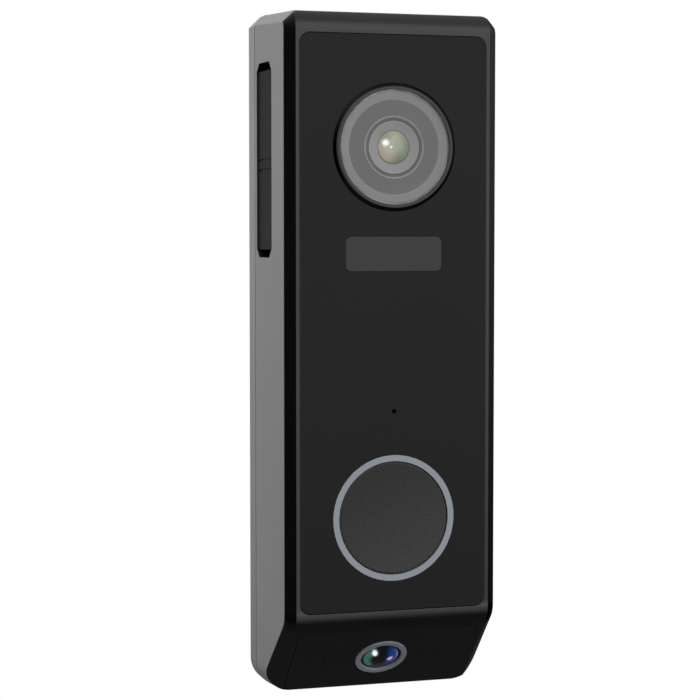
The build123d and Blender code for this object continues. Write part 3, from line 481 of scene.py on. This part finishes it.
def chin_lens_coating():
    """Coated lower lens: black, with painted coating reflections: green streaks on its left, pale-edged
    blue on its right and a pink spot.
    """
    black, sea_green, deep_blue = grey(0.002), (0.10, 0.42, 0.30, 1), (0.013, 0.066, 0.33, 1)
    pale_blue_reflection, pink_reflection = (0.34, 0.36, 0.85, 1), (0.95, 0.68, 0.88, 1)
    material, tree, shader = new_material("chin_lens_coating")
    coords = local(tree, chin_lens_place, chin_turn)
    radius = away(tree, coords)
    across = parts(tree, coords)[0]
    coated = inside(tree, radius, chin_lens_radius, blur=0.00008)
    # Painted reflections: the green streaks, the blue, its pale brim and the pink spot stand for the
    # coating's reflections.
    left = fade(tree, across, -0.0024, -0.0012)
    right = fade(tree, across, 0.0028, 0.0004)
    outer = fade(tree, radius, 0.0032, 0.0018)
    ripple = calc(tree, "SINE", calc(tree, "MULTIPLY", radius, 13000.0))
    streaks = calc(tree, "MULTIPLY_ADD", ripple, 0.35, 0.65)
    base = mixed(tree, times(tree, left, outer, streaks, coated), black, sea_green)
    blue = times(tree, right, coated)
    base = mixed(tree, blue, base, deep_blue)
    brim = fade(tree, radius, 0.0038, 0.0034)
    brim = times(tree, blue, brim, spot(tree, coords, 0.0034, -0.0004, 0.0008, 0.0036))
    base = mixed(tree, brim, base, pale_blue_reflection)
    base = mixed(tree, spot(tree, coords, 0.0020, -0.0001, 0.0004, 0.0009), base, pink_reflection)
    tree.links.new(base, shader.inputs["Base Color"])
    plain(shader, Roughness=0.1, IOR=1.6)
    return material


def clear_window():
    """Thin clear disc: it lets light through and adds only its gloss."""
    face_gloss, edge_gloss, edge_power = 0.03, 0.2, 4.0
    material, tree, shader = new_material("clear_window")
    facing = node(tree, "ShaderNodeLayerWeight", Blend=0.5).outputs["Facing"]
    slant = calc(tree, "POWER", facing, edge_power)
    gloss = calc(tree, "MULTIPLY_ADD", slant, edge_gloss, face_gloss)
    clear = node(tree, "ShaderNodeBsdfTransparent")
    mix = node(tree, "ShaderNodeMixShader", i0=gloss, i1=clear.outputs[0], i2=shader.outputs[0])
    plain(shader, Base_Color=grey(0.0), Roughness=0.05)
    tree.links.new(mix.outputs[0], tree.nodes["Material Output"].inputs["Surface"])
    return material


finishes = {
    housing_satin(): ["main_housing", "rear_cover"],
    panel_satin(): ["front_panel"],
    moulded("chin_satin", (0.012, 0.012, 0.0123), 0.28, bump=0.000002, Specular_IOR_Level=0.25): [
        "chin_panel", "chin_ir_windows",
    ],
    bezel_satin(): ["camera_bezel"],
    hood_grey(): ["camera_hood"],
    clear_window(): ["camera_window"],
    barrel_grey(): ["lens_barrel"],
    lens_coating(): ["front_lens", "rear_lens"],
    moulded("sensor_window", (0.010, 0.010, 0.0104), 0.33, bump=0.000003): ["pir_window"],
    button_matte(): ["button_cap"],
    moulded("ring_diffuser", (0.44, 0.475, 0.55), 0.45): ["button_light_ring"],
    moulded("port_rubber", (0.066, 0.066, 0.0665), 0.85, bump=0.00002, Specular_IOR_Level=0.15): [
        "port_anchor", "upper_flap", "lower_flap",
    ],
    moulded("chin_ring", (0.33, 0.355, 0.41), 0.35): ["chin_trim_ring"],
    chin_lens_coating(): ["chin_lens"],
    moulded("seal_rubber", (0.012, 0.012, 0.012), 0.7): [
        "rear_seal", "panel_tape", "mic_boot", "speaker_gasket", "button_membrane",
    ],
    moulded("bracket_black", (0.02, 0.02, 0.021), 0.5, bump=0.00002): ["wall_bracket"],
    moulded("screw_steel", (0.5, 0.5, 0.51), 0.3, Metallic=1.0): [
        "case_screws", "board_screws", "button_board_screws", "security_screw",
    ],
    moulded("tinned_steel", (0.6, 0.6, 0.59), 0.28, Metallic=1.0): [
        "shield_can", "pir_sensor", "microphone", "usb_connector", "card_slot",
    ],
    moulded("board_green", (0.02, 0.12, 0.05), 0.4): [
        "main_board", "button_board", "camera_board", "ir_led_board", "chin_camera_board",
    ],
    moulded("part_black", (0.012, 0.012, 0.012), 0.5): [
        "camera_holder", "image_sensor", "switch_body", "reset_switch", "chin_lens_barrel",
        "chin_camera_holder", "chin_sensor", "speaker",
    ],
    moulded("led_resin", (0.7, 0.66, 0.5), 0.2): ["ir_leds", "ring_leds", "chin_ir_leds"],
    moulded("white_plastic", (0.7, 0.69, 0.65), 0.4): [
        "switch_stem", "reset_plunger", "battery_plug",
    ],
    moulded("flex_amber", (0.42, 0.16, 0.02), 0.35): ["chin_camera_flex"],
    moulded("antenna_gold", (0.8, 0.6, 0.22), 0.3, Metallic=1.0): ["antenna_strip"],
    moulded("battery_sleeve", (0.06, 0.14, 0.36), 0.25): ["battery_pack"],
    moulded("lead_red", (0.45, 0.02, 0.02), 0.4): ["battery_lead"],
}
for material, names in finishes.items():
    for name in names:
        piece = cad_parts[name]
        piece.data.materials.clear()
        piece.data.materials.append(material)


def new_piece(name, shape, material):
    """An object at the origin, made from a finished bmesh."""
    mesh = bpy.data.meshes.new(name)
    shape.to_mesh(mesh)
    shape.free()
    mesh.materials.append(material)
    made = bpy.data.objects.new(name, mesh)
    bpy.context.scene.collection.objects.link(made)
    return made


def button_dome():
    """Rubber dome between the button and its board, on the case, in place of the button membrane."""
    profile = (
        (dome_hole, dome_front_y),
        (dome_crown, dome_front_y),
        (dome_skirt, button_board_y - dome_wall),
        (dome_foot, button_board_y - dome_wall),
        (dome_foot, button_board_y),
        (dome_skirt - dome_wall, button_board_y),
        (dome_crown - dome_wall / 2, dome_front_y + dome_wall),
        (dome_hole, dome_front_y + dome_wall),
    )
    shape = bmesh.new()
    corners = [shape.verts.new((radius, y, button_z)) for radius, y in profile]
    sides = [shape.edges.new(ends) for ends in zip(corners, corners[1:] + corners[:1])]
    bmesh.ops.spin(
        shape, geom=corners + sides, cent=(0, 0, button_z), axis=(0, 1, 0),
        angle=radians(360), steps=72, use_merge=True,
    )
    bmesh.ops.recalc_face_normals(shape, faces=shape.faces)
    rims = [edge for edge in shape.edges if edge.calc_face_angle(0) > radians(20)]
    bmesh.ops.bevel(
        shape, geom=rims, offset=dome_rounding, segments=3, profile=0.5,
        affect="EDGES", material=-1,
    )
    for face in shape.faces:
        face.smooth = True
    dome = new_piece("button_dome", shape, bpy.data.materials["seal_rubber"])
    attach(dome, "case")
    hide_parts("button_membrane")
    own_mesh(dome)


def hinge_web(name, anchor_z, flap_z):
    """Thin rubber web between the port cover's anchor and a flap."""
    outline = (
        cover_rear + cover_inward * web_front,
        cover_front + cover_inward * web_front,
        cover_front + cover_inward * web_back,
        cover_rear + cover_inward * web_back,
    )
    shape = bmesh.new()
    corners = [shape.verts.new(corner + Vector((0, 0, anchor_z))) for corner in outline]
    raised = bmesh.ops.extrude_face_region(shape, geom=[shape.faces.new(corners)])["geom"]
    top = [item for item in raised if isinstance(item, bmesh.types.BMVert)]
    bmesh.ops.translate(shape, verts=top, vec=(0, 0, flap_z - anchor_z))
    uprights = [edge for edge in shape.edges if edge.verts[0].co.z != edge.verts[1].co.z]
    bmesh.ops.subdivide_edges(shape, edges=uprights, cuts=8, use_grid_fill=True)
    bmesh.ops.recalc_face_normals(shape, faces=shape.faces)
    web = new_piece(name, shape, bpy.data.materials["port_rubber"])
    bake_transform(web)


def hinge_webs():
    """A web above and one below the anchor, each just clear of the two pieces that it joins."""
    anchor_low, anchor_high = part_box("port_anchor")
    upper_flap_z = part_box("upper_flap")[0].z - web_clearance
    lower_flap_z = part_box("lower_flap")[1].z + web_clearance
    hinge_web("upper_web", anchor_high.z + web_clearance, upper_flap_z)
    hinge_web("lower_web", anchor_low.z - web_clearance, lower_flap_z)


def floor_piece():
    """Pale floor under the object; it is white to the camera and throws little light up at the chin."""
    shape = bmesh.new()
    bmesh.ops.create_grid(shape, x_segments=1, y_segments=1, size=floor_half)
    bmesh.ops.translate(shape, verts=shape.verts, vec=(0, 0, cad_box[0].z - floor_drop))
    material, tree, shader = new_material("floor_white")
    ray = tree.nodes.new("ShaderNodeLightPath").outputs["Is Camera Ray"]
    glow = node(tree, "ShaderNodeEmission", Color=grey(1.0), Strength=1.0)
    mix = node(tree, "ShaderNodeMixShader", i0=ray, i1=shader.outputs[0], i2=glow.outputs[0])
    plain(shader, Base_Color=grey(0.15), Roughness=0.9)
    tree.links.new(mix.outputs[0], tree.nodes["Material Output"].inputs["Surface"])
    floor = new_piece("floor", shape, material)


def soft_panel(tree, way, aim, core, edge, strength):
    """Light from about one direction, full at its core and gone at its edge, both as cosines."""
    dot = node(tree, "ShaderNodeVectorMath", i0=way, i1=Vector(aim).normalized())
    dot.operation = "DOT_PRODUCT"
    return fade(tree, dot.outputs["Value"], core, edge, strength)


def studio_light():
    """White to the camera; round the object, soft panels with a dark left and a dark floor."""
    world = bpy.data.worlds.new("studio")
    bpy.context.scene.world = world
    world.use_nodes = True
    tree = world.node_tree
    tree.nodes.clear()
    way = tree.nodes.new("ShaderNodeTexCoord").outputs["Generated"]
    rear = soft_panel(tree, way, aim=(-0.3, 0.95, 0.0), core=0.92, edge=0.55, strength=1.48)
    front = soft_panel(tree, way, aim=(0.35, -0.93, 0.08), core=0.93, edge=0.68, strength=1.5)
    right = soft_panel(tree, way, aim=(1.0, 0.25, 0.35), core=0.97, edge=0.87, strength=0.3)
    top = soft_panel(tree, way, aim=(0.0, -0.15, 1.0), core=0.9, edge=0.25, strength=0.42)
    upright = calc(tree, "ADD", calc(tree, "ADD", rear, front), right)
    above_floor = fade(tree, parts(tree, way)[2], 0.15, -0.75)
    level = calc(tree, "MULTIPLY_ADD", upright, above_floor, top)
    soft = node(tree, "ShaderNodeBackground", Color=grey(1.0), Strength=level)
    white = node(tree, "ShaderNodeBackground", Color=grey(1.0), Strength=1.0)
    ray = tree.nodes.new("ShaderNodeLightPath").outputs["Is Camera Ray"]
    mix = node(tree, "ShaderNodeMixShader", i0=ray, i1=soft.outputs[0], i2=white.outputs[0])
    output = tree.nodes.new("ShaderNodeOutputWorld")
    tree.links.new(mix.outputs[0], output.inputs["Surface"])


def lens_glow(name, lens, aim, direction, distance, size, power):
    """A soft-edged light for one lens alone, with its long side towards the camera."""
    light = bpy.data.lights.new(name, "AREA")
    light.shape = "ELLIPSE"
    light.size, light.size_y = size
    light.energy = power
    light.use_nodes = True
    tree = light.node_tree
    place = tree.nodes.new("ShaderNodeNewGeometry").outputs["Parametric"]
    core = spot(tree, place, 0.5, 0.5, 0.12, 0.5)
    tree.links.new(core, tree.nodes["Emission"].inputs["Strength"])
    lamp = bpy.data.objects.new(name, light)
    away_from_lens = Vector(direction).normalized()
    sideways = (camera_place - Vector(aim)).cross(away_from_lens).normalized()
    turn = Matrix((sideways, away_from_lens.cross(sideways), away_from_lens)).transposed()
    lamp.location = Vector(aim) + away_from_lens * distance
    lamp.rotation_euler = turn.to_euler()
    lamp.visible_camera = False
    bpy.context.scene.collection.objects.link(lamp)
    lit = bpy.data.collections.new(name)
    lit.objects.link(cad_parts[lens])
    lamp.light_linking.receiver_collection = lit


def lens_lights():
    """A light for each of the two lenses."""
    lens_glow(
        "lens_light", "front_lens", aim=upper_lens_place, direction=(-0.25, -0.92, 0.32),
        distance=0.9, size=(0.55, 0.55), power=8.5,
    )
    lens_glow(
        "chin_light", "chin_lens", aim=chin_lens_place, direction=(-0.025, -0.334, -0.942),
        distance=0.3, size=(0.085, 0.17), power=0.65,
    )


def photo_camera():
    """The camera at the photograph's viewing angle."""
    lens = bpy.data.cameras.new("camera")
    lens.lens = camera_lens
    lens.clip_start = 0.01
    holder = bpy.data.objects.new("camera", lens)
    holder.location = camera_place
    holder.rotation_euler = (camera_target - camera_place).to_track_quat("-Z", "Y").to_euler()
    bpy.context.scene.collection.objects.link(holder)
    bpy.context.scene.camera = holder


button_dome()
hinge_webs()
floor_piece()
studio_light()
lens_lights()
photo_camera()
bpy.context.scene.view_settings.view_transform = "Standard"
